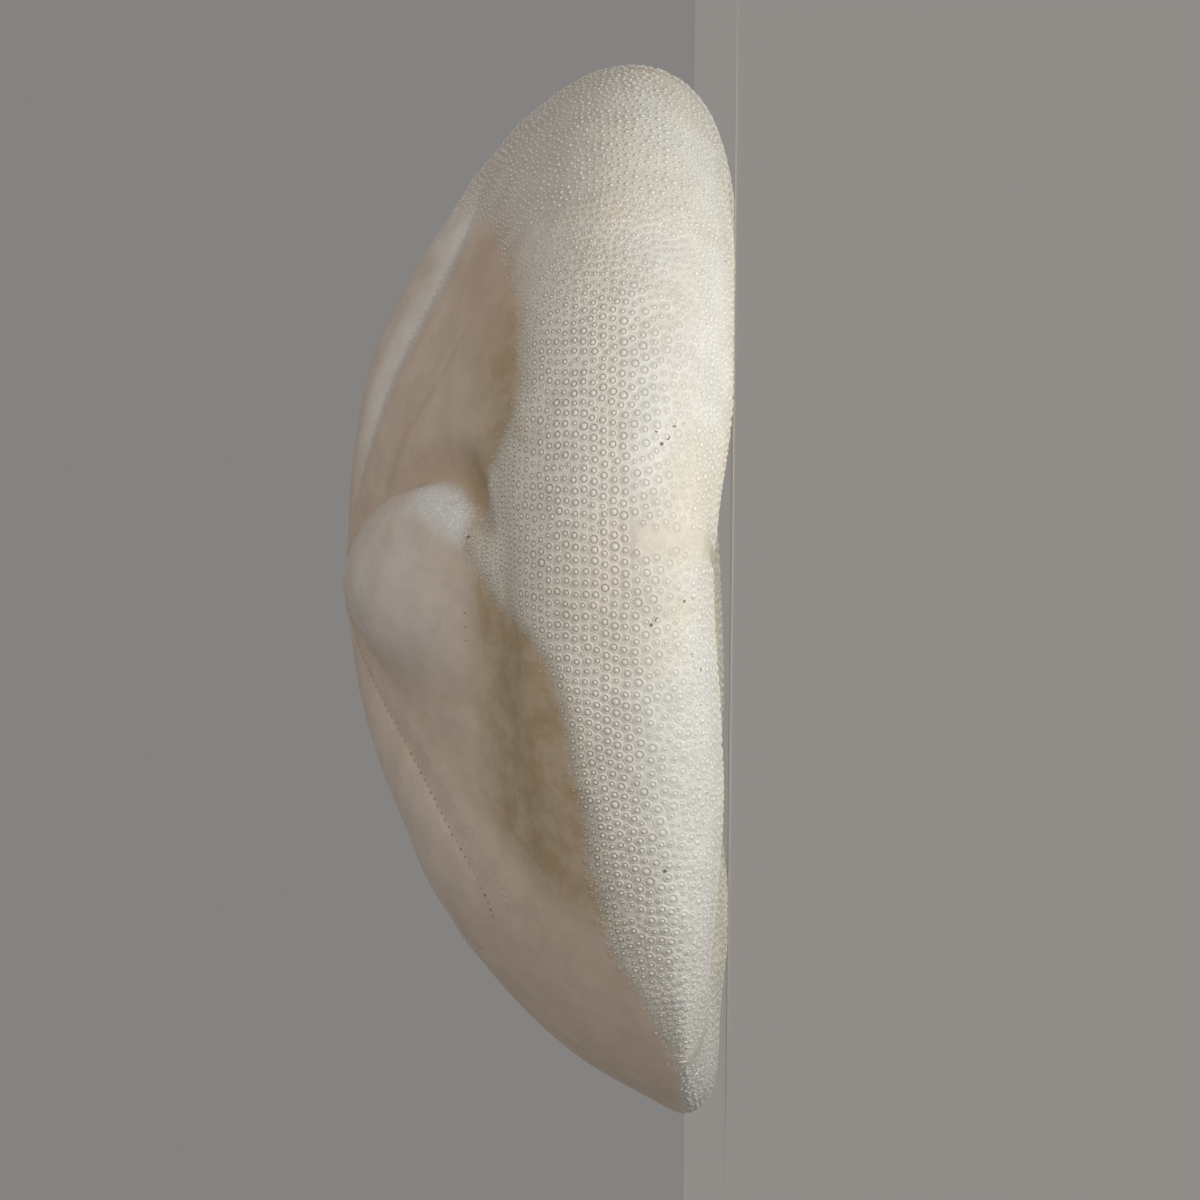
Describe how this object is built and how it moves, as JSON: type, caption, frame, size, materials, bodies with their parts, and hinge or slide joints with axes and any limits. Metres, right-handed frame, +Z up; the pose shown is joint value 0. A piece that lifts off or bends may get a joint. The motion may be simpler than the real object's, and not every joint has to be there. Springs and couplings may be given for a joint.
{
  "type": "sea biscuit",
  "caption": "Dried test of an inflated sea biscuit: a domed shell with swollen petals, a thick rounded tuberculate margin and a concave mouth side",
  "frame": {"origin": "the middle of the bounding box seen from above, on the plane that the mouth side rests on", "axes": "+X points along the longest extent, towards the front petal and the blunt front end; -X points to the thin back end with the vent; +Z points up through the crown"},
  "size_m": [0.125, 0.1062, 0.046],
  "materials": {
    "shell": "bleached chalky calcite, matte, ivory on the margin and pinkish beige on the upper side"
  },
  "bodies": {
    "root": {"test": "shell"}
  },
  "joints": []
}
